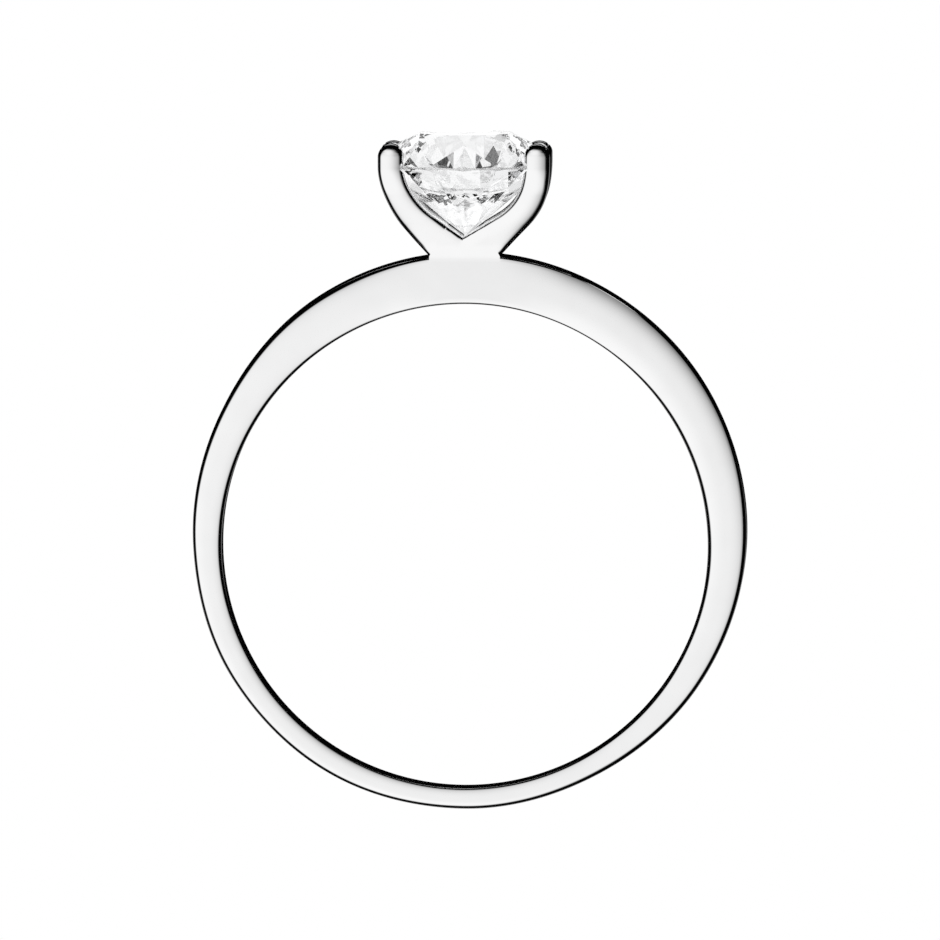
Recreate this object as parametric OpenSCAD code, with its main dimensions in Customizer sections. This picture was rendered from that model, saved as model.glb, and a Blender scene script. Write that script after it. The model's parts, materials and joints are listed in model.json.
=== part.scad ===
// Solitaire engagement ring: a tapering band, a four-claw head and one round
// brilliant stone. The finger hole lies along Y, its centre is the origin and
// the stone stands above it, along +Z.

/* [Band] */
// Diameter of the finger hole
finger_d = 16.5; // [15:0.1:20]
// Thickness of the band under the head
crown_t = 1.67; // [1.5:0.01:1.9]
// Thickness of the band opposite the head
base_t = 0.63; // [0.5:0.01:1]
// Width of the band under the head
top_w = 2; // [1.8:0.1:2.2]
// Width of the band opposite the head
bottom_w = 1.6; // [1.2:0.1:2]
// Sideways offset of the outer circle from the finger hole
outer_shift = 0.12; // [0:0.02:0.2]

/* [Head] */
// Half width of the neck where the arms leave the band
neck_half = 1.2; // [1.1:0.01:1.25]
// Distance from the centre line to the inner edge of a claw
claw_in = 2.03; // [2:0.01:2.1]
// Thickness of a claw across the ring
claw_t = 0.89; // [0.8:0.01:0.95]
// Depth of a claw along the finger
claw_d = 0.72; // [0.6:0.01:0.8]
// Slope of the outer edge of an arm at its root
root_slope = 48; // [46:1:50]
// Height of the notch between the arms above the top of the band
notch_h = 0.62; // [0.6:0.01:0.66]
// Height of the claw tips above the top of the band
tip_h = 3.81; // [3.75:0.01:3.9]
// Half depth of the head at the girdle of the stone
head_half = 1.95; // [1.85:0.05:2]

/* [Stone] */
// Diameter of the stone
stone_d = 5.75; // [5.6:0.05:5.9]
// Diameter of the table facet across its corners
table_d = 3.3; // [3:0.05:3.5]
// Angle of the crown facets
crown_angle = 39; // [34:1:40]
// Thickness of the girdle
girdle_t = 0.16; // [0.1:0.02:0.2]
// Height of the point of the stone above the top of the band
culet_h = 0.6; // [0.55:0.01:0.65]
// Height of the underside of the girdle above the top of the band
girdle_h = 2.95; // [2.9:0.01:3]

/* [Joint] */
// Diameter of the locating peg between the band and the head
peg_d = 1; // [0.8:0.1:1.2]
// Depth of the peg in the band
peg_down = 1; // [0.8:0.1:1.1]
// Height of the peg in the head
peg_up = 0.4; // [0.3:0.05:0.45]

/* [Hidden] */
round_fn = 96;

finger_r = finger_d / 2;
top_z = finger_r + crown_t;
outer_r = finger_r + (crown_t + base_t) / 2;
outer_z = (crown_t - base_t) / 2;

// The head sits in a shallow flat seat cut across the band.
seat_depth = 0.22;
seat_z = top_z - seat_depth;

// Each arm is bounded by two arcs whose centres lie at the same height.
arc_z = top_z + 3.08;
outer_arc_r = 3.17;
inner_arc_r = 2.09;
claw_out = claw_in + claw_t;
outer_arc_x = claw_out - outer_arc_r;
inner_arc_x = claw_in - inner_arc_r;
inner_slope = 34;
notch = [-0.06, top_z + notch_h];
outer_tangent = [outer_arc_x + outer_arc_r * sin(root_slope), arc_z - outer_arc_r * cos(root_slope)];
inner_tangent = [inner_arc_x + inner_arc_r * sin(inner_slope), arc_z - inner_arc_r * cos(inner_slope)];
root_z = outer_tangent[1] - (outer_tangent[0] - neck_half) * tan(root_slope);

// The base holds the notch; an arm takes over this far out along its edge.
base_reach = 0.6;
function notch_edge(side) =
  let (top = [side * inner_tangent[0], inner_tangent[1]])
  notch + (top - notch) * (side * base_reach - notch[0]) / (top[0] - notch[0]);

// Side view of the head: upright at the root, leaning out to the girdle, then in.
root_half = top_w / 2;
tip_half = head_half - 0.08;
lean_start_z = top_z - 0.02;
lean_end_z = top_z + 2.98;
head_top_z = top_z + 4;
web_top_z = top_z + 1.53;

// Stone levels and the radii of the facet corners.
stone_r = stone_d / 2;
table_r = table_d / 2;
culet_z = top_z + culet_h;
girdle_z = top_z + girdle_h;
crown_z = girdle_z + girdle_t;
table_z = crown_z + (stone_r - table_r) * tan(crown_angle);
star_length = 0.5;
lower_half_length = 0.77;
half_step = 22.5;
star_r = table_r * cos(half_step) * (1 - star_length) + stone_r * star_length;
star_z = crown_z + (stone_r - star_r * cos(half_step)) * tan(crown_angle);
pavilion_slope = (girdle_z - culet_z) / stone_r;
lower_r = stone_r * (1 - lower_half_length);
lower_z = girdle_z - (stone_r - lower_r * cos(half_step)) * pavilion_slope;
seat_clearance = 0.01;

metal = [0.86, 0.86, 0.87];
peg_metal = [0.76, 0.76, 0.78];
crystal = [0.93, 0.96, 0.98, 0.6];

// Extrudes an outline drawn in X and Z along the finger, centred on the ring.
module along_finger(depth) {
  rotate([90, 0, 0]) linear_extrude(height = depth, center = true) children();
}

// Extrudes an outline drawn in Y and Z across the ring, centred on the ring.
module across_ring(length) {
  rotate([90, 0, 90]) linear_extrude(height = length, center = true) children();
}

module band_side_2d() {
  reach = 12;
  grow = (top_w - bottom_w) / 2 / (2 * outer_r);
  low = bottom_w / 2 - grow * (reach + outer_z - outer_r);
  high = top_w / 2 + grow * (reach - outer_z - outer_r);
  polygon([[-low, -reach], [low, -reach], [high, reach], [-high, reach]]);
}

module shank() {
  color(metal)
    difference() {
      intersection() {
        along_finger(2 * top_w)
          translate([outer_shift, outer_z]) circle(r = outer_r, $fn = round_fn);
        across_ring(4 * outer_r) band_side_2d();
      }
      along_finger(3 * top_w) circle(r = finger_r, $fn = round_fn);
      translate([-neck_half, -top_w, seat_z]) cube([2 * neck_half, 2 * top_w, crown_t]);
      translate([0, 0, seat_z - peg_down]) cylinder(r = peg_d / 2, h = crown_t, $fn = round_fn);
    }
}

// Solid of revolution just larger than the stone, which cuts its seat.
module stone_seat() {
  r = stone_r + seat_clearance;
  rotate_extrude($fn = round_fn)
    polygon([
      [0, culet_z - 4 * seat_clearance],
      [r, girdle_z - seat_clearance],
      [r, crown_z + seat_clearance],
      [table_r, table_z + seat_clearance],
      [0, table_z + seat_clearance],
    ]);
}

// Front half outline of the head seen from the side, between two depths.
function side_points(inset) = [
  [root_half - inset, seat_z],
  [root_half - inset, lean_start_z],
  [head_half - inset, lean_end_z],
  [tip_half - inset, head_top_z],
];

module claw_side_2d() {
  outer = side_points(0);
  inner = side_points(claw_d);
  polygon([outer[0], outer[1], outer[2], outer[3], inner[3], inner[2], inner[1], inner[0]]);
}

module between_sides_2d(inset) {
  p = side_points(inset);
  polygon([
    p[0], p[1], p[2], p[3],
    [-p[3][0], p[3][1]], [-p[2][0], p[2][1]], [-p[1][0], p[1][1]], [-p[0][0], p[0][1]],
  ]);
}

// Lower, straight-sided stretch of an arm, drawn as a right arm. The notch is off
// the centre line, so edge_z differs between the sides.
module arm_root_2d(edge_z) {
  polygon([[neck_half, root_z], outer_tangent, inner_tangent, [base_reach, edge_z]]);
}

// Upper, curved stretch of an arm up to its rounded tip. It laps a little into
// the straight stretch, so that the two make one piece.
module arm_bow_2d() {
  tip_r = claw_t / 2;
  tip_z = top_z + tip_h - tip_r;
  far = claw_out + 1;
  lap = [neck_half, (root_z + inner_tangent[1]) / 2];
  difference() {
    intersection() {
      translate([outer_arc_x, arc_z]) circle(r = outer_arc_r, $fn = round_fn);
      polygon([
        inner_tangent, lap, outer_tangent,
        [far, outer_tangent[1]], [far, arc_z], [claw_in / 2, arc_z],
      ]);
    }
    translate([inner_arc_x, arc_z]) circle(r = inner_arc_r, $fn = round_fn);
  }
  translate([claw_in, arc_z]) square([claw_t, tip_z - arc_z]);
  translate([claw_in + tip_r, tip_z]) circle(r = tip_r, $fn = round_fn);
}

// side is 1 for the right arm, -1 for the left one.
module arm_2d(side) {
  mirror([side < 0 ? 1 : 0, 0]) {
    arm_root_2d(notch_edge(side)[1]);
    arm_bow_2d();
  }
}

module head_base() {
  color(metal)
    difference() {
      intersection() {
        along_finger(4 * root_half)
          polygon([
            [-neck_half, seat_z], [neck_half, seat_z], [neck_half, root_z],
            notch_edge(1), notch, notch_edge(-1), [-neck_half, root_z],
          ]);
        across_ring(4 * neck_half) between_sides_2d(0);
      }
      stone_seat();
      translate([0, 0, seat_z - peg_down]) cylinder(r = peg_d / 2, h = peg_down + peg_up, $fn = round_fn);
    }
}

module locating_peg() {
  color(peg_metal)
    translate([0, 0, seat_z - peg_down]) cylinder(r = peg_d / 2, h = peg_down + peg_up, $fn = round_fn);
}

// Wall that joins a front claw to the rear claw behind it, below the stone.
module web(side) {
  color(metal)
    difference() {
      intersection() {
        along_finger(4 * head_half) arm_2d(side);
        across_ring(4 * claw_out)
          intersection() {
            between_sides_2d(claw_d);
            translate([-head_half, seat_z]) square([2 * head_half, web_top_z - seat_z]);
          }
      }
      stone_seat();
    }
}

// end is -1 for the claws at the front, 1 for those at the rear.
module claw(side, end) {
  color(metal)
    difference() {
      intersection() {
        along_finger(4 * head_half) arm_2d(side);
        across_ring(4 * claw_out) mirror([end < 0 ? 1 : 0, 0]) claw_side_2d();
      }
      stone_seat();
    }
}

function ring_points(r, z, turn, step) =
  [for (a = [turn : step : turn + 359]) [r * cos(a), r * sin(a), z]];

// Round brilliant cut: table, stars, bezels and halves above the girdle,
// mains and lower halves below it.
module diamond() {
  full_step = 2 * half_step;
  corners = concat(
    ring_points(table_r, table_z, half_step, full_step),
    ring_points(star_r, star_z, 0, full_step),
    ring_points(stone_r, crown_z, 0, half_step),
    ring_points(stone_r, girdle_z, 0, half_step),
    ring_points(lower_r, lower_z, 0, full_step),
    [[0, 0, culet_z]]
  );
  color(crystal)
    hull() polyhedron(points = corners, faces = [[for (i = [0 : len(corners) - 1]) i]]);
}

shank();
head_base();
locating_peg();
web(-1);  // left_web
web(1);  // right_web
claw(-1, -1);  // front_left_claw
claw(1, -1);  // front_right_claw
claw(-1, 1);  // rear_left_claw
claw(1, 1);  // rear_right_claw
diamond();
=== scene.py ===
import json
import math

import bmesh
import bpy
from mathutils import Matrix, Vector


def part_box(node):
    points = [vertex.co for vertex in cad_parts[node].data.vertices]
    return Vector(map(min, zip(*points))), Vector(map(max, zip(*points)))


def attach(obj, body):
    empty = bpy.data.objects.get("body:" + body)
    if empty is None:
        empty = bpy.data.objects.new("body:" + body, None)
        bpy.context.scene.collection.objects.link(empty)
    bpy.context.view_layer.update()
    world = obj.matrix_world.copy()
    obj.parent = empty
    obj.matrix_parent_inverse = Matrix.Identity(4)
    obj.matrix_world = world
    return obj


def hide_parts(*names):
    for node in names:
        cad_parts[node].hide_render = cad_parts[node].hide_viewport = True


# A solitaire ring in polished white metal: tapering band, four-claw head, round brilliant.
# The finger hole lies along Y with its centre at the origin, and the stone stands above it.
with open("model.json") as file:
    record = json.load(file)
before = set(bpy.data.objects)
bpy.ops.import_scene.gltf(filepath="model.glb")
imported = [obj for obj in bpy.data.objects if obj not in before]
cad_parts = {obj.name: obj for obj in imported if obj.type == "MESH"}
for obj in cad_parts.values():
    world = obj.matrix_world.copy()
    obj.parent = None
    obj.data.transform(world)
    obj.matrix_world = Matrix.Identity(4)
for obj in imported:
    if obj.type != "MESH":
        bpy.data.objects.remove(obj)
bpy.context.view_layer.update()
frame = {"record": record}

# ---------------------------------------------------------------- sizes, in millimetres
MM = 0.001


def cad_corners(node):
    """Lowest and highest corner of a CAD node."""
    return [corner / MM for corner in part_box(node)]


band_lo, band_hi = cad_corners("shank")
stone_lo, stone_hi = cad_corners("diamond")
base_lo, base_hi = cad_corners("head_base")
peg_lo, peg_hi = cad_corners("locating_peg")
claw_hi = cad_corners("rear_right_claw")[1]
mounts = {m["name"]: m for m in frame["record"]["mounts"]}

# Band: the outer circle is a little off the finger hole, so the band tapers.
FINGER_R = mounts["finger_bore"]["dims"]["r_mm"]
OUTER_R = (band_hi.x - band_lo.x) / 2
OUTER_X = (band_hi.x + band_lo.x) / 2
OUTER_Z = band_lo.z + OUTER_R
TOP_Z = OUTER_Z + OUTER_R
BAND_SEGMENTS = 360
# Half widths of the band along the finger, at the top and at the bottom.
TOP_HALF = 1.0
BOTTOM_HALF = 0.8
# The sides of the band fall away at their rims by this share of half its thickness. They
# stay flat below the head: the fall starts and is complete at these angles from the top.
BAND_CROWN = 0.04
CROWN_FROM = math.radians(7)
CROWN_FULL = math.radians(22)
# Fillets at every 30 degrees from the top, clockwise seen from the front. Neither takes
# more than its share of half the thickness.
OUTER_FILLETS = (0.07, 0.03, 0.05, 0.14, 0.145, 0.18, 0.19, 0.18, 0.15, 0.135, 0.155, 0.135)
INNER_FILLETS = (0.105, 0.10, 0.17, 0.17, 0.11, 0.055, 0.05, 0.035, 0.06, 0.125, 0.125, 0.1)
OUTER_FILLET_SHARE = 0.6
INNER_FILLET_SHARE = 0.5
# How far the outer edge strays from a true circle, at the same places.
OUTER_WAVES = (0, -0.025, 0, 0.055, 0.03, -0.015, 0.07, 0.13, 0.07, -0.045, -0.085, 0)

# Neck block, set in a flat seat across the band. It is first made this deep each way.
NECK_HALF = base_hi.x
SEAT_Z = base_lo.z
BLOCK_HALF = 1
BLOCK_CUTS_UP = 28
BLOCK_CUTS_ACROSS = 44

# Arm outline: two arcs of one centre height, then straight edges down to the base.
CLAW_T = 0.89
CLAW_D = 0.72
CLAW_OUT = claw_hi.x
CLAW_IN = CLAW_OUT - CLAW_T
ARC_Z = TOP_Z + 3.08
OUTER_ARC_R = 3.17
INNER_ARC_R = 2.09
OUTER_SLOPE = math.radians(48)
INNER_SLOPE = math.radians(34)
NOTCH = Vector((-0.06, TOP_Z + 0.62))
# The base hands over to an arm this far out along the edge of the notch.
BASE_REACH = 0.6
TIP_Z = claw_hi.z
TIP_R = CLAW_T / 2
ARM_FILLET = 0.12
FILLET_SEGMENTS = 6
# How far the faces of the head fall away at its rims.
ARM_CROWN = 0.045
# Extra rounding of the faces toward the rim of a tip, and where on the way there it starts.
TIP_DOME = 0.06
TIP_DOME_FROM = 0.45
# The arms sway a little to one side between these heights.
SWAY = 0.06
SWAY_FROM = TOP_Z + 0.3
SWAY_TO = TOP_Z + 3.0

# An arm is first made flat. These are its stretches: straight root, bow, upright tip.
ROOT_RUN = 1.15
BOW_RUN = 2.5
TIP_RUN = TIP_Z - ARC_Z
ARM_RUN = ROOT_RUN + BOW_RUN + TIP_RUN
# Run at which the web ends and its two claws part, and the rounding of the slot's corners.
SLOT_RUN = 1.95
SLOT_ROUND = 0.55
OUTLINE_STEP = 0.05
TIP_POINTS = 10
SLOT_POINTS = 16
# The flat arm is cut into this many strips each way, so that it bends smoothly.
ARM_CUTS_ALONG = 80
ARM_CUTS_THROUGH = 7
# The web reaches this far into each claw, so that no gap shows.
SPLIT_LAP = 0.02
# The rear claws are this much shorter than the front ones.
REAR_TIP_DROP = 0.08

# Side view of the head: it leans out from the band to the girdle, eased in and out.
HEAD_HALF = claw_hi.y
TINE_IN = HEAD_HALF - CLAW_D
LEAN_FROM = TOP_Z - 0.15
LEAN_TO = TOP_Z + 2.98
LEAN_IN = 0.5
LEAN_OUT = 0.9

# Stone. The table radius is to its corners. STAR_LENGTH and LOWER_LENGTH are how far the
# stars and the lower halves reach, as shares of the way between table or point and girdle.
STONE_R = (stone_hi.x - stone_lo.x) / 2
TABLE_Z = stone_hi.z
CULET_Z = stone_lo.z
TABLE_R = 1.65
CROWN_ANGLE = math.radians(39)
GIRDLE_T = 0.16
CROWN_Z = TABLE_Z - (STONE_R - TABLE_R) * math.tan(CROWN_ANGLE)
GIRDLE_Z = CROWN_Z - GIRDLE_T
STAR_LENGTH = 0.5
LOWER_LENGTH = 0.77
GIRDLE_SEGMENTS = 96
FOLDS = 8
# The blank that the stone is cut from stands past it by this much at both ends.
BLANK_EXTRA = 0.5
SEAT_CLEARANCE = 0.012
SEAT_SEGMENTS = 144

# Locating peg, hidden between the band and the neck block.
PEG_R = (peg_hi.x - peg_lo.x) / 2
PEG_CHAMFER = 0.06
PEG_SEGMENTS = 64
HOLE_SEGMENTS = 48

# Edges that bend by less than this are shaded smooth.
SHARP_ANGLE = math.radians(32)

# Tolerances of the meshes: points closer than WELD are one point, and anything under TINY
# is nothing. Boolean cuts are made in metres, so they have their own.
WELD = 1e-5
TINY = 1e-6
SLICE_TINY = 1e-7
METRE_WELD = 2e-7
METRE_TINY = 1e-7

# Camera: degrees round from the front and up, then millimetres.
VIEW_AZIMUTH = 1.5
VIEW_ELEVATION = 4.2
VIEW_DISTANCE = 900.0
VIEW_WIDTH = 31.92
VIEW_TARGET = Vector((0.16, 0.0, 2.54))
SENSOR = 36.0


# ---------------------------------------------------------------- mesh helpers
def mark_edges(bm, flat=False):
    """Shades the faces smooth, except across sharp edges, or flat throughout."""
    for face in bm.faces:
        face.smooth = not flat
    for edge in bm.edges:
        if len(edge.link_faces) == 2:
            edge.smooth = edge.calc_face_angle(0) < SHARP_ANGLE


def add_object(name, bm, flat=False):
    """Turns a bmesh in millimetres into an object in metres."""
    bmesh.ops.remove_doubles(bm, verts=bm.verts, dist=WELD)
    bmesh.ops.dissolve_degenerate(bm, edges=bm.edges, dist=TINY)
    bmesh.ops.recalc_face_normals(bm, faces=bm.faces)
    bm.transform(Matrix.Scale(MM, 4))
    mark_edges(bm, flat)
    mesh = bpy.data.meshes.new(name)
    bm.to_mesh(mesh)
    bm.free()
    obj = bpy.data.objects.new(name, mesh)
    bpy.context.scene.collection.objects.link(obj)
    return obj


def cut_away(obj, cutter):
    """Subtracts cutter from obj and removes the cutter."""
    modifier = obj.modifiers.new("cut", "BOOLEAN")
    modifier.operation = "DIFFERENCE"
    modifier.solver = "EXACT"
    modifier.object = cutter
    graph = bpy.context.evaluated_depsgraph_get()
    mesh = bpy.data.meshes.new_from_object(obj.evaluated_get(graph))
    obj.modifiers.clear()
    obj.data = mesh
    bpy.data.objects.remove(cutter)
    bm = bmesh.new()
    bm.from_mesh(mesh)
    bmesh.ops.remove_doubles(bm, verts=bm.verts, dist=METRE_WELD)
    bmesh.ops.dissolve_degenerate(bm, edges=bm.edges, dist=METRE_TINY)
    mark_edges(bm)
    bm.to_mesh(mesh)
    bm.free()


def finish_piece(obj, node, material):
    """Lets a piece stand for its CAD node and gives it its material."""
    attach(obj, "root")
    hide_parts(node)
    obj.data.materials.clear()
    obj.data.materials.append(material)


def all_parts(bm):
    """Everything in a mesh, for the operators that cut it."""
    return list(bm.verts) + list(bm.edges) + list(bm.faces)


def slice_along(bm, axis, low, high, count):
    """Cuts the mesh with evenly spaced planes, so that it can be bent smoothly."""
    normal = Vector((0, 0, 0))
    normal[axis] = 1
    for i in range(count):
        point = Vector((0, 0, 0))
        point[axis] = low + (high - low) * (i + 0.5) / count
        bmesh.ops.bisect_plane(
            bm, geom=all_parts(bm), plane_co=point, plane_no=normal, dist=SLICE_TINY
        )


def keep_side(bm, point, normal):
    """Cuts the mesh at a plane, drops what lies past it and closes the cut."""
    cut = bmesh.ops.bisect_plane(
        bm, geom=all_parts(bm), plane_co=point, plane_no=normal, dist=TINY, clear_outer=True
    )
    edges = [g for g in cut["geom_cut"] if isinstance(g, bmesh.types.BMEdge) and g.is_valid]
    bmesh.ops.holes_fill(bm, edges=edges, sides=0)


def prism(points, low, high, place):
    """Extrudes a closed outline, and returns the mesh with the vertices of its two rims.
    place(p, d) gives the 3-D point for outline point p at depth d."""
    bm = bmesh.new()
    rims = [[bm.verts.new(place(p, d)) for p in points] for d in (low, high)]
    bm.faces.new(rims[0])
    bm.faces.new(list(reversed(rims[1])))
    count = len(points)
    for i in range(count):
        j = (i + 1) % count
        bm.faces.new((rims[0][i], rims[1][i], rims[1][j], rims[0][j]))
    bmesh.ops.recalc_face_normals(bm, faces=bm.faces)
    return bm, rims


def round_rims(bm, rims, wanted):
    """Fillets the edges along both rims whose index in the outline is wanted."""
    edges = []
    for rim in rims:
        for i, vert in enumerate(rim):
            edge = bm.edges.get((vert, rim[(i + 1) % len(rim)]))
            if edge is not None and wanted(i):
                edges.append(edge)
    bmesh.ops.bevel(
        bm, geom=edges, offset=ARM_FILLET, segments=FILLET_SEGMENTS, profile=0.5,
        affect="EDGES", clamp_overlap=False,
    )


def make_cylinder(radius, low, high, segments):
    """Upright capped cylinder on the Z axis."""
    bm = bmesh.new()
    bmesh.ops.create_cone(
        bm, cap_ends=True, segments=segments, radius1=radius, radius2=radius,
        depth=high - low, matrix=Matrix.Translation((0, 0, (high + low) / 2)),
    )
    return bm


def arc_points(centre, radius, start, end, count):
    """Points of an arc, from angle start to angle end, both included."""
    step = (end - start) / (count - 1)
    points = []
    for i in range(count):
        a = start + step * i
        points.append(Vector((centre[0] + radius * math.cos(a), centre[1] + radius * math.sin(a))))
    return points


# ---------------------------------------------------------------- shapes of the metal
def round_the_ring(values, turn):
    """Smoothly interpolates values that are evenly spaced round the ring, from the top."""
    place = turn / (2 * math.pi) % 1 * len(values)
    start = int(place)
    share = place - start
    share = share * share * (3 - 2 * share)
    return values[start % len(values)] * (1 - share) + values[(start + 1) % len(values)] * share


def half_depth(z):
    """Half depth of the ring's side view at a height: the band's taper, then the leaning head."""
    grow = (TOP_HALF - BOTTOM_HALF) / (TOP_Z - band_lo.z)
    taper = BOTTOM_HALF + grow * (min(z, LEAN_FROM) - band_lo.z)
    if z <= LEAN_FROM:
        return taper
    length = LEAN_TO - LEAN_FROM
    rise = HEAD_HALF - taper
    slope = rise / (length - LEAN_IN / 2 - LEAN_OUT / 2)
    up = min(z - LEAN_FROM, length)
    if up < LEAN_IN:
        return taper + slope * up**2 / (2 * LEAN_IN)
    if up < length - LEAN_OUT:
        return taper + slope * (up - LEAN_IN / 2)
    return HEAD_HALF - slope * (length - up) ** 2 / (2 * LEAN_OUT)


def band_section(inner, outer, half, turn):
    """Closed cross-section of the band as (radius, depth) pairs: four fillets, crowned sides."""
    corner_steps = 8
    side_steps = 14
    wall_steps = 6
    middle = (inner + outer) / 2
    reach = (outer - inner) / 2
    outer_f = min(round_the_ring(OUTER_FILLETS, turn), reach * OUTER_FILLET_SHARE)
    inner_f = min(round_the_ring(INNER_FILLETS, turn), reach * INNER_FILLET_SHARE)
    crowned = min(max((abs(turn) - CROWN_FROM) / (CROWN_FULL - CROWN_FROM), 0), 1)
    points = []

    def crown(radius):
        return crowned * BAND_CROWN * reach * abs((radius - middle) / reach) ** 3

    def corner(centre_r, centre_d, fillet, start):
        for i in range(corner_steps + 1):
            a = start + math.pi / 2 * i / corner_steps
            radius = centre_r + fillet * math.cos(a)
            depth = centre_d + fillet * math.sin(a)
            fall = crown(radius) * (1 if depth > 0 else -1) * min(abs(math.sin(a)), 1)
            points.append((radius, depth - fall))

    def side(start, end, sign):
        for i in range(1, side_steps):
            radius = start + (end - start) * i / side_steps
            points.append((radius, sign * (half - crown(radius))))

    def wall(radius, start, end):
        for i in range(1, wall_steps):
            points.append((radius, start + (end - start) * i / wall_steps))

    corner(outer - outer_f, half - outer_f, outer_f, 0)
    side(outer - outer_f, inner + inner_f, 1)
    corner(inner + inner_f, half - inner_f, inner_f, math.pi / 2)
    wall(inner, half - inner_f, -half + inner_f)
    corner(inner + inner_f, -half + inner_f, inner_f, math.pi)
    side(inner + inner_f, outer - outer_f, -1)
    corner(outer - outer_f, -half + outer_f, outer_f, 3 * math.pi / 2)
    wall(outer, -half + outer_f, half - outer_f)
    return points


def make_shank():
    """The band: cross-sections right round the finger hole, joined into one skin."""
    bm = bmesh.new()
    rings = []
    for k in range(BAND_SEGMENTS):
        a = 2 * math.pi * k / BAND_SEGMENTS - math.pi
        ray = Vector((math.sin(a), math.cos(a)))
        along = ray.x * OUTER_X + ray.y * OUTER_Z
        across = OUTER_X**2 + OUTER_Z**2 - along**2
        outer = along + math.sqrt(OUTER_R**2 - across) + round_the_ring(OUTER_WAVES, a)
        half = half_depth(min((FINGER_R + outer) / 2 * ray.y, LEAN_FROM))
        section = band_section(FINGER_R, outer, half, a)
        rings.append([bm.verts.new((r * ray.x, d, r * ray.y)) for r, d in section])
    count = len(rings[0])
    for k in range(BAND_SEGMENTS):
        here, after = rings[k], rings[(k + 1) % BAND_SEGMENTS]
        for i in range(count):
            j = (i + 1) % count
            bm.faces.new((here[i], here[j], after[j], after[i]))
    bmesh.ops.recalc_face_normals(bm, faces=bm.faces)
    shank = add_object("shank_metal", bm)
    cut_seat(shank)
    return shank


def cut_seat(shank):
    """The flat seat across the top of the band, and the blind hole for the peg."""
    height = 1.0
    bm = bmesh.new()
    bmesh.ops.create_cube(bm, size=1)
    size = Matrix.Diagonal((2 * NECK_HALF, 4 * TOP_HALF, height, 1))
    bm.transform(Matrix.Translation((0, 0, SEAT_Z + height / 2)) @ size)
    cut_away(shank, add_object("flat_cutter", bm))
    hole_depth = SEAT_Z - peg_lo.z
    hole = make_cylinder(PEG_R, SEAT_Z - hole_depth, SEAT_Z + hole_depth, HOLE_SEGMENTS)
    cut_away(shank, add_object("hole_cutter", hole))


# ---------------------------------------------------------------- arms
def on_arc(edge_x, radius, angle):
    """Point on the arc that ends upright at edge_x, where its slope is this angle."""
    return Vector((edge_x - radius + radius * math.sin(angle), ARC_Z - radius * math.cos(angle)))


outer_tangent = on_arc(CLAW_OUT, OUTER_ARC_R, OUTER_SLOPE)
inner_tangent = on_arc(CLAW_IN, INNER_ARC_R, INNER_SLOPE)
ROOT_Z = outer_tangent.y - (outer_tangent.x - NECK_HALF) * math.tan(OUTER_SLOPE)


def notch_edge(side):
    """Where the base hands over to an arm, on the edge that runs up from the notch."""
    top = Vector((side * inner_tangent.x, inner_tangent.y))
    return NOTCH + (top - NOTCH) * (side * BASE_REACH - NOTCH.x) / (top.x - NOTCH.x)


def arm_edges(side, s):
    """Inner and outer edge of an arm (as a right arm, in x and z) at run s from the base."""
    if s <= ROOT_RUN:
        t = s / ROOT_RUN
        low_in = Vector((BASE_REACH, notch_edge(side).y))
        low_out = Vector((NECK_HALF, ROOT_Z))
        return low_in.lerp(inner_tangent, t), low_out.lerp(outer_tangent, t)
    if s <= ROOT_RUN + BOW_RUN:
        t = (s - ROOT_RUN) / BOW_RUN
        inner_angle = INNER_SLOPE + (math.pi / 2 - INNER_SLOPE) * t
        outer_angle = OUTER_SLOPE + (math.pi / 2 - OUTER_SLOPE) * t
        inner = on_arc(CLAW_IN, INNER_ARC_R, inner_angle)
        return inner, on_arc(CLAW_OUT, OUTER_ARC_R, outer_angle)
    z = ARC_Z + s - ROOT_RUN - BOW_RUN
    return Vector((CLAW_IN, z)), Vector((CLAW_OUT, z))


def sway(z):
    """Sideways shift of the head at this height."""
    share = min(max((z - SWAY_FROM) / (SWAY_TO - SWAY_FROM), 0), 1)
    return SWAY * math.sin(math.pi * share) ** 2


def rim_fall(away):
    """How far the crowned front and rear faces of the head lie back at this distance from a rim."""
    return ARM_CROWN * max(1 - away / (CLAW_T / 2), 0) ** 2


def fork_outline():
    """Flat outline of one arm as (run, depth): two tines joined by the web, corners rounded."""
    quarter = math.pi / 2
    tip = ARM_RUN - ARM_FILLET
    slot = SLOT_RUN + SLOT_ROUND
    points = []

    def line(start, end):
        start, end = Vector(start), Vector(end)
        count = max(int((end - start).length / OUTLINE_STEP), 1)
        points.extend(start.lerp(end, i / count) for i in range(count))

    def corner(centre, radius, start, end, count):
        points.extend(arc_points(centre, radius, start, end, count)[:-1])

    def tine_tip(low, high):
        """Rounded end of the tine that lies between these depths."""
        corner((tip, low + ARM_FILLET), ARM_FILLET, -quarter, 0, TIP_POINTS)
        line((ARM_RUN, low + ARM_FILLET), (ARM_RUN, high - ARM_FILLET))
        corner((tip, high - ARM_FILLET), ARM_FILLET, 0, quarter, TIP_POINTS)

    line((0, -HEAD_HALF), (tip, -HEAD_HALF))
    tine_tip(-HEAD_HALF, -TINE_IN)
    line((tip, -TINE_IN), (slot, -TINE_IN))
    corner((slot, -TINE_IN + SLOT_ROUND), SLOT_ROUND, -quarter, -2 * quarter, SLOT_POINTS)
    line((SLOT_RUN, -TINE_IN + SLOT_ROUND), (SLOT_RUN, TINE_IN - SLOT_ROUND))
    corner((slot, TINE_IN - SLOT_ROUND), SLOT_ROUND, 2 * quarter, quarter, SLOT_POINTS)
    line((slot, TINE_IN), (tip, TINE_IN))
    tine_tip(TINE_IN, HEAD_HALF)
    line((tip, HEAD_HALF), (0, HEAD_HALF))
    line((0, HEAD_HALF), (0, -HEAD_HALF))
    return points


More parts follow.
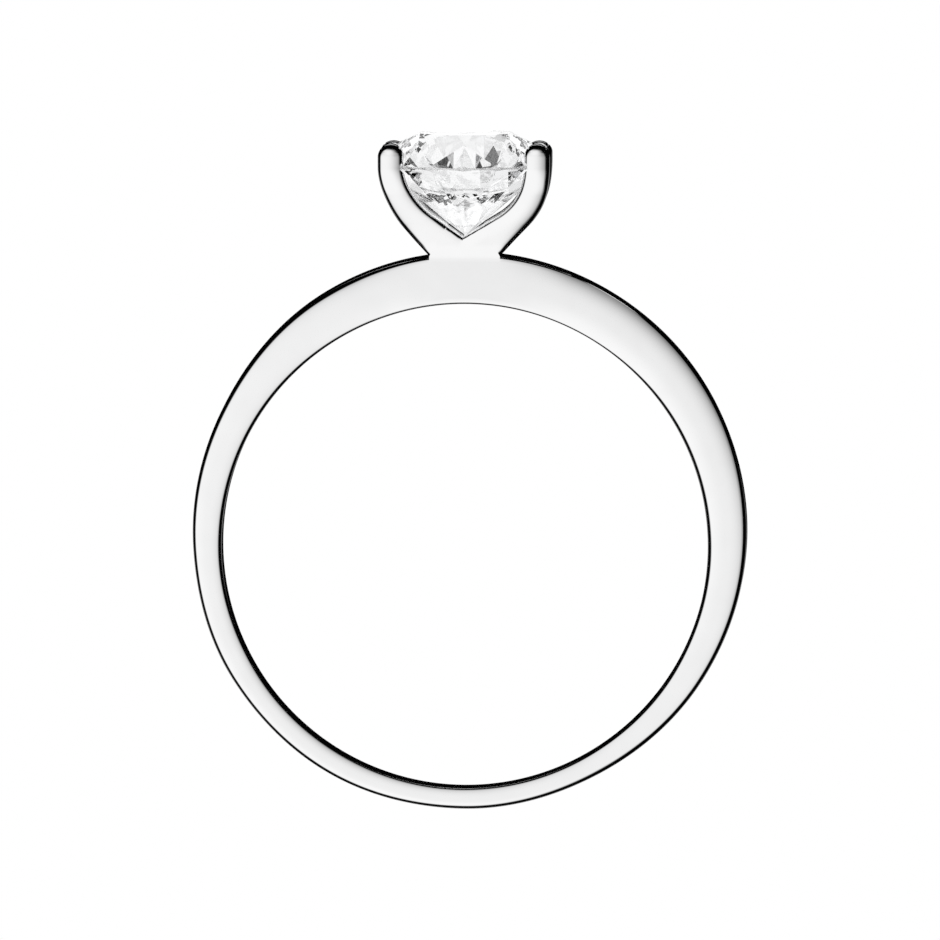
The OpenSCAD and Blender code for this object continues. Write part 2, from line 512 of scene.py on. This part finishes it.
def bend_arm(bm, side):
    """Maps the flat fork (run, thickness, depth) onto the arm's curve, and leans it out."""
    for vert in bm.verts:
        s, u, d = vert.co
        inner, outer = arm_edges(side, s)
        width = (outer - inner).length
        inner_away = (u / CLAW_T + 0.5) * width
        crown = rim_fall(inner_away) + rim_fall(width - inner_away) * min(s / ROOT_RUN, 1)
        # Square tips become round ones: a point at the same share of the way to the rim
        # moves along its own ray to the semicircle that the rim follows.
        over = s - (ARM_RUN - TIP_R)
        reach = max(over, abs(u))
        if over > 0 and reach > 0:
            near_rim = max(reach / TIP_R - TIP_DOME_FROM, 0) / (1 - TIP_DOME_FROM)
            crown = max(crown, TIP_DOME * near_rim**2 * min(over / TIP_R * 2, 1))
            shrink = reach / math.hypot(over, u)
            s -= over * (1 - shrink)
            u *= shrink
        if d > TINE_IN:
            s -= REAR_TIP_DROP * max(s - ROOT_RUN - BOW_RUN, 0) / TIP_RUN
        inner, outer = arm_edges(side, s)
        point = inner.lerp(outer, u / CLAW_T + 0.5)
        edge = half_depth(point.y)
        size = abs(d)
        if size > TINE_IN:
            size = edge - (HEAD_HALF - size)
            size -= crown * (abs(d) - TINE_IN) / CLAW_D
        else:
            size = size * (edge - CLAW_D) / TINE_IN
        vert.co = (side * point.x + sway(point.y), math.copysign(size, d), point.y)


def flat_fork():
    """Solid fork as thick as a claw, filleted except where it meets the neck block."""
    points = fork_outline()
    bm, rims = prism(points, -CLAW_T / 2, CLAW_T / 2, lambda p, u: (p.x, u, p.y))

    def past_root(i):
        return points[i].x > TINY or points[(i + 1) % len(points)].x > TINY

    round_rims(bm, rims, past_root)
    return bm


def make_arm(side, label):
    """One arm in three pieces: its front claw, the web and its rear claw."""
    split = TINE_IN - SPLIT_LAP
    fork = flat_fork()
    slice_along(fork, 1, -CLAW_T / 2, CLAW_T / 2, ARM_CUTS_THROUGH)
    slice_along(fork, 0, 0, ARM_RUN, ARM_CUTS_ALONG)
    # Planes that bound each piece, as a point and the direction in which to cut away.
    bounds = {
        f"front_{label}_claw": [((0, 0, -split), (0, 0, 1))],
        f"{label}_web": [((0, 0, split), (0, 0, 1)), ((0, 0, -split), (0, 0, -1))],
        f"rear_{label}_claw": [((0, 0, split), (0, 0, -1))],
    }
    pieces = {}
    for node, planes in bounds.items():
        bm = fork.copy()
        for point, normal in planes:
            keep_side(bm, point, normal)
        bend_arm(bm, side)
        pieces[node] = add_object(f"{node}_metal", bm)
    fork.free()
    return pieces


def distance_to_segment(point, start, end):
    """Shortest distance from a point to a straight segment."""
    way = end - start
    t = min(max((point - start).dot(way) / way.dot(way), 0.0), 1.0)
    return (point - start - way * t).length


def make_base():
    """Neck block under the arms, whose top edges form the notch."""
    right, left = notch_edge(1), notch_edge(-1)
    outline = [
        Vector((-NECK_HALF, SEAT_Z)), Vector((NECK_HALF, SEAT_Z)), Vector((NECK_HALF, ROOT_Z)),
        right, NOTCH, left, Vector((-NECK_HALF, ROOT_Z)),
    ]
    notch_sides = (outline.index(right), outline.index(NOTCH))
    bm, rims = prism(outline, -BLOCK_HALF, BLOCK_HALF, lambda p, d: (p.x, d, p.y))
    round_rims(bm, rims, lambda i: i in notch_sides)
    slice_along(bm, 2, SEAT_Z, right.y, BLOCK_CUTS_UP)
    slice_along(bm, 0, -NECK_HALF, NECK_HALF, BLOCK_CUTS_ACROSS)
    for vert in bm.verts:
        point = Vector((vert.co.x, vert.co.z))
        away = min(distance_to_segment(point, NOTCH, end) for end in (left, right))
        edge = half_depth(vert.co.z) - rim_fall(away)
        vert.co.y = math.copysign(edge - (BLOCK_HALF - abs(vert.co.y)), vert.co.y)
        vert.co.x += sway(vert.co.z)
    return add_object("head_base_metal", bm)


def stone_seat():
    """Solid of revolution just larger than the stone, which cuts its seat in the claws."""
    r = STONE_R + SEAT_CLEARANCE
    top = TABLE_Z + SEAT_CLEARANCE
    profile = [
        (0, CULET_Z - 4 * SEAT_CLEARANCE), (r, GIRDLE_Z - SEAT_CLEARANCE),
        (r, CROWN_Z + SEAT_CLEARANCE), (TABLE_R, top), (0, top),
    ]
    bm = bmesh.new()
    verts = [bm.verts.new((x, 0, z)) for x, z in profile]
    edges = [bm.edges.new((verts[i], verts[i + 1])) for i in range(len(verts) - 1)]
    bmesh.ops.spin(
        bm, geom=verts + edges, cent=(0, 0, 0), axis=(0, 0, 1), angle=2 * math.pi,
        steps=SEAT_SEGMENTS, use_merge=True,
    )
    return add_object("seat_cutter", bm)


# ---------------------------------------------------------------- stone
def make_stone():
    """Round brilliant: a cylinder cut back facet by facet, so that every facet is truly flat."""
    bm = make_cylinder(STONE_R, CULET_Z - BLANK_EXTRA, TABLE_Z + BLANK_EXTRA, GIRDLE_SEGMENTS)

    def at(radius, turn, z):
        return Vector((radius * math.cos(turn), radius * math.sin(turn), z))

    def facet(a, b, c):
        """Cuts off what lies outside the plane through three points."""
        normal = (b - a).cross(c - a).normalized()
        centre = Vector((0, 0, GIRDLE_Z))
        if normal.dot(a - centre) < 0:
            normal.negate()
        keep_side(bm, a, normal)

    half_step = math.pi / FOLDS
    star_r = TABLE_R * math.cos(half_step) * (1 - STAR_LENGTH) + STONE_R * STAR_LENGTH
    star_z = CROWN_Z + (STONE_R - star_r * math.cos(half_step)) * math.tan(CROWN_ANGLE)
    slope = (GIRDLE_Z - CULET_Z) / STONE_R
    lower_r = STONE_R * (1 - LOWER_LENGTH)
    lower_z = GIRDLE_Z - (STONE_R - lower_r * math.cos(half_step)) * slope
    culet = Vector((0, 0, CULET_Z))
    facet(at(1, 0, TABLE_Z), at(1, 2, TABLE_Z), at(1, 4, TABLE_Z))
    for k in range(FOLDS):
        bezel = (2 * k + 1) * half_step
        star = 2 * k * half_step
        after = star + 2 * half_step
        facet(at(star_r, star, star_z), at(star_r, after, star_z), at(STONE_R, bezel, CROWN_Z))
        facet(at(lower_r, star, lower_z), at(lower_r, after, lower_z), culet)
        facet(
            at(star_r, star, star_z),
            at(TABLE_R, star - half_step, TABLE_Z),
            at(TABLE_R, star + half_step, TABLE_Z),
        )
        for turn in (star - half_step, star + half_step):
            facet(at(star_r, star, star_z), at(STONE_R, star, CROWN_Z), at(STONE_R, turn, CROWN_Z))
            facet(at(lower_r, star, lower_z), at(STONE_R, star, GIRDLE_Z), at(STONE_R, turn, GIRDLE_Z))
    return add_object("diamond_stone", bm, flat=True)


def make_peg():
    """Locating peg with chamfered ends."""
    bm = make_cylinder(PEG_R, peg_lo.z, peg_hi.z, PEG_SEGMENTS)
    ends = [e for e in bm.edges if abs(e.verts[0].co.z - e.verts[1].co.z) < TINY]
    bmesh.ops.bevel(bm, geom=ends, offset=PEG_CHAMFER, segments=3, profile=0.5, affect="EDGES")
    return add_object("locating_peg_metal", bm)


# ---------------------------------------------------------------- materials
# Darkest and brightest colour of a metal, range of its roughness, and depth of its buffing.
WHITE_METAL = {
    "low": (0.93, 0.93, 0.932), "high": (0.96, 0.96, 0.962),
    "rough_low": 0.05, "rough_high": 0.09, "scratch": 0.05,
}
PEG_METAL = {
    "low": (0.70, 0.70, 0.71), "high": (0.78, 0.78, 0.79),
    "rough_low": 0.25, "rough_high": 0.4, "scratch": 0.4,
}
# Extra roughness of the webs below the stone, where no wheel can reach.
WEB_SATIN = 0.32
# Part of the noise's range over which colour and gloss change.
CLOUD_RANGE = (0.3, 0.7)
# Buffing lines: how often per metre along each axis, and how deep in metres.
BUFFING_SCALE = (2500, 14000, 2500)
BUFFING_DEPTH = 0.000002


def add_node(tree, kind, inputs, **settings):
    """Adds a shader node. inputs gives each input socket's value, or the socket that feeds it."""
    node = tree.nodes.new(f"ShaderNode{kind}")
    for key, value in settings.items():
        setattr(node, key, value)
    for key, value in inputs.items():
        if isinstance(value, bpy.types.NodeSocket):
            tree.links.new(value, node.inputs[key])
        else:
            node.inputs[key].default_value = value
    return node


def new_material(name):
    """A material with its node tree and its shader."""
    material = bpy.data.materials.new(name)
    material.use_nodes = True
    tree = material.node_tree
    return material, tree, tree.nodes["Principled BSDF"]


def polished_metal(name, low, high, rough_low, rough_high, scratch):
    """Polished white metal: faint cloudiness in colour and gloss, and fine buffing lines."""
    material, tree, shader = new_material(name)
    shader.inputs["Metallic"].default_value = 1.0
    place = add_node(tree, "TexCoord", {}).outputs["Object"]
    cloud = add_node(tree, "TexNoise", {"Vector": place, "Scale": 900, "Detail": 4}).outputs["Fac"]

    tint = add_node(tree, "ValToRGB", {"Fac": cloud})
    dark, bright = tint.color_ramp.elements
    dark.position, bright.position = CLOUD_RANGE
    dark.color = (*low, 1)
    bright.color = (*high, 1)
    tree.links.new(tint.outputs["Color"], shader.inputs["Base Color"])

    gloss = add_node(tree, "MapRange", {
        "Value": cloud, "From Min": CLOUD_RANGE[0], "From Max": CLOUD_RANGE[1],
        "To Min": rough_low, "To Max": rough_high,
    })
    tree.links.new(gloss.outputs["Result"], shader.inputs["Roughness"])

    stretch = add_node(tree, "Mapping", {"Vector": place, "Scale": BUFFING_SCALE})
    lines = add_node(tree, "TexNoise", {"Vector": stretch.outputs["Vector"], "Scale": 1, "Detail": 3})
    bump = add_node(tree, "Bump", {
        "Height": lines.outputs["Fac"], "Strength": scratch, "Distance": BUFFING_DEPTH,
    })
    tree.links.new(bump.outputs["Normal"], shader.inputs["Normal"])
    return material


def satin_inside(material, rough):
    """Leaves the surfaces that face the axis of the stone less polished."""
    tree = material.node_tree
    roughness = tree.nodes["Principled BSDF"].inputs["Roughness"]
    polish = roughness.links[0].from_socket
    geometry = add_node(tree, "NewGeometry", {})
    flat = add_node(
        tree, "VectorMath", {0: geometry.outputs["Position"], 1: (1, 1, 0)}, operation="MULTIPLY"
    )
    facing = add_node(
        tree, "VectorMath", {0: flat.outputs["Vector"], 1: geometry.outputs["Normal"]},
        operation="DOT_PRODUCT",
    )
    inside = add_node(tree, "Math", {0: facing.outputs["Value"], 1: 0.0}, operation="LESS_THAN")
    extra = add_node(
        tree, "Math", {0: inside.outputs["Value"], 1: rough, 2: polish}, operation="MULTIPLY_ADD"
    )
    tree.links.new(extra.outputs["Value"], roughness)
    return material


def diamond_material():
    """Clear diamond: glassy facets and a slightly frosted girdle."""
    material, tree, shader = new_material("diamond")
    shader.inputs["IOR"].default_value = 2.417
    shader.inputs["Transmission Weight"].default_value = 1.0
    place = add_node(tree, "TexCoord", {}).outputs["Object"]

    cloud = add_node(tree, "TexNoise", {"Vector": place, "Scale": 700})
    tint = add_node(tree, "ValToRGB", {"Fac": cloud.outputs["Fac"]})
    tint.color_ramp.elements[0].color = (0.985, 0.99, 1, 1)
    tint.color_ramp.elements[1].color = (1, 1, 1, 1)
    tree.links.new(tint.outputs["Color"], shader.inputs["Base Color"])

    # Only the girdle stands upright, so it alone gets the frosting.
    geometry = add_node(tree, "NewGeometry", {})
    parts = add_node(tree, "SeparateXYZ", {"Vector": geometry.outputs["True Normal"]})
    tilt = add_node(tree, "Math", {0: parts.outputs["Z"]}, operation="ABSOLUTE")
    girdle = add_node(tree, "Math", {0: tilt.outputs["Value"], 1: 0.1}, operation="LESS_THAN")
    grain = add_node(tree, "TexNoise", {"Vector": place, "Scale": 9000})
    frost = add_node(tree, "MapRange", {
        "Value": grain.outputs["Fac"], "To Min": 0.04, "To Max": 0.3,
    })
    rough = add_node(
        tree, "Math", {0: frost.outputs["Result"], 1: girdle.outputs["Value"]},
        operation="MULTIPLY",
    )
    tree.links.new(rough.outputs["Value"], shader.inputs["Roughness"])
    return material


# ---------------------------------------------------------------- light, floor and camera
def direction(azimuth, elevation):
    """Unit vector; azimuth 0 is the front, at -Y, and 90 is +X."""
    a, e = math.radians(azimuth), math.radians(elevation)
    return Vector((math.sin(a) * math.cos(e), -math.cos(a) * math.cos(e), math.sin(e)))


# Lights seen in the metal: azimuth, elevation, full to this angle, gone at this angle, strength.
# They are placed for the front view: white faces with black edges.
METAL_LIGHTS = [
    (-14, -16, 8, 36, 1.0),
    (-14, -38, 6, 32, 1.0),
    (176, -36, 12, 24, 0.2),
    (180, 36, 10, 22, 0.7),
    (135, -18, 12, 28, 0.25),
    (-135, -18, 12, 28, 0.25),
]
# What the metal sees elsewhere, and the strength of the whole set.
METAL_DARK = 0.001
METAL_GAIN = 0.99
# Dark cards seen in the stone: azimuth, elevation, full to, gone at, how much they take away.
STONE_CARDS = [
    (44, 50, 15, 22, 1.3),
    (-58, 43, 18, 25, 1.3),
    (-141, 43, 9, 19, 1.0),
    (144, 43, 9, 19, 1.0),
    (160, -18, 4, 10, 0.35),
    (-148, 12, 4, 10, 0.2),
    (176, -9, 3, 8, 0.12),
    (172, 31, 5, 11, 0.2),
    (-50, -48, 6, 14, 0.6),
    (30, -8, 6, 14, 0.7),
]
# What the stone sees elsewhere.
STONE_LIGHT = 1.12
# What its outer facets mirror is bright only around this direction; elsewhere it is this dim.
STONE_HORIZON = (180, 4, 20, 45, 1.0)
STONE_GLINT = 0.3
# Half the side of the floor, in millimetres.
FLOOR_HALF = 1500


def build_world():
    """White room whose polished metal and stone each mirror their own set of lights."""
    world = bpy.data.worlds.new("studio")
    bpy.context.scene.world = world
    world.use_nodes = True
    # The lights differ by kind of ray, so the world isn't sampled as one lamp.
    world.cycles.sampling_method = "NONE"
    tree = world.node_tree
    tree.nodes.clear()
    way = add_node(tree, "TexCoord", {}).outputs["Generated"]

    def combine(operation, a, b):
        return add_node(tree, "Math", {0: a, 1: b}, operation=operation).outputs["Value"]

    def disc(azimuth, elevation, full, gone, strength):
        """Soft round patch of a given strength in one direction of the room."""
        toward = {0: way, 1: direction(azimuth, elevation)}
        dot = add_node(tree, "VectorMath", toward, operation="DOT_PRODUCT")
        fade = {
            "Value": dot.outputs["Value"],
            "From Min": math.cos(math.radians(gone)),
            "From Max": math.cos(math.radians(full)),
            "To Max": strength,
        }
        return add_node(tree, "MapRange", fade, interpolation_type="SMOOTHSTEP").outputs["Result"]

    # Overlapping lights blend without passing full strength.
    metal = METAL_DARK
    for light in METAL_LIGHTS:
        patch = disc(*light)
        metal = combine("SUBTRACT", combine("ADD", metal, patch), combine("MULTIPLY", metal, patch))
    metal = combine("MULTIPLY", metal, METAL_GAIN)
    stone = STONE_LIGHT
    for card in STONE_CARDS:
        stone = combine("SUBTRACT", stone, disc(*card))
    stone = combine("MAXIMUM", stone, 0.0)

    # The stone's facets are perfectly sharp, so its rays are the singular ones.
    path = add_node(tree, "LightPath", {}).outputs
    glossy = path["Is Glossy Ray"]
    sharp = combine("MULTIPLY", glossy, path["Is Singular Ray"])
    glint = combine("MULTIPLY", sharp, combine("MAXIMUM", disc(*STONE_HORIZON), STONE_GLINT))
    in_stone = combine("MAXIMUM", glint, path["Is Transmission Ray"])
    in_metal = combine("SUBTRACT", glossy, sharp)
    seen = combine("ADD", combine("MULTIPLY", in_stone, stone), combine("MULTIPLY", in_metal, metal))
    open_air = combine("ADD", path["Is Camera Ray"], path["Is Diffuse Ray"])
    strength = combine("ADD", seen, open_air)
    background = add_node(tree, "Background", {"Color": (1, 1, 1, 1), "Strength": strength})
    add_node(tree, "OutputWorld", {"Surface": background.outputs["Background"]})


def build_floor():
    """White floor under the ring. Only the camera sees it, and it shows no shadow."""
    bm = bmesh.new()
    bmesh.ops.create_grid(bm, x_segments=1, y_segments=1, size=FLOOR_HALF)
    bm.transform(Matrix.Translation((0, 0, band_lo.z - max(OUTER_WAVES))))
    floor = add_object("floor", bm)
    material = bpy.data.materials.new("white_floor")
    material.use_nodes = True
    tree = material.node_tree
    tree.nodes.clear()
    glow = add_node(tree, "Emission", {"Color": (1, 1, 1, 1)})
    add_node(tree, "OutputMaterial", {"Surface": glow.outputs["Emission"]})
    floor.data.materials.append(material)
    floor.visible_glossy = False
    floor.visible_transmission = False
    floor.visible_diffuse = False


def build_camera():
    """Long lens in front of the ring, a little to the right and above."""
    data = bpy.data.cameras.new("camera")
    data.sensor_width = SENSOR
    data.lens = SENSOR * VIEW_DISTANCE / VIEW_WIDTH
    data.clip_start = 0.01
    data.clip_end = 10
    camera = bpy.data.objects.new("camera", data)
    back = direction(VIEW_AZIMUTH, VIEW_ELEVATION)
    camera.location = (VIEW_TARGET + back * VIEW_DISTANCE) * MM
    camera.rotation_mode = "QUATERNION"
    camera.rotation_quaternion = (-back).to_track_quat("-Z", "Y")
    bpy.context.scene.collection.objects.link(camera)
    bpy.context.scene.camera = camera


def build_look():
    """Plain tones, and enough bounces for light that zigzags inside the stone."""
    scene = bpy.context.scene
    scene.view_settings.view_transform = "Standard"
    scene.cycles.max_bounces = 24
    scene.cycles.glossy_bounces = 20
    scene.cycles.transmission_bounces = 20


# ---------------------------------------------------------------- assembly
white_metal = polished_metal("white_metal", **WHITE_METAL)
peg_metal = polished_metal("peg_metal", **PEG_METAL)
web_metal = satin_inside(polished_metal("web_metal", **WHITE_METAL), WEB_SATIN)

finish_piece(make_shank(), "shank", white_metal)
finish_piece(make_base(), "head_base", white_metal)
finish_piece(make_peg(), "locating_peg", peg_metal)
for side, label in ((-1, "left"), (1, "right")):
    for node, piece in make_arm(side, label).items():
        if node.endswith("claw"):
            cut_away(piece, stone_seat())
            finish_piece(piece, node, white_metal)
        else:
            finish_piece(piece, node, web_metal)
finish_piece(make_stone(), "diamond", diamond_material())

build_world()
build_floor()
build_camera()
build_look()
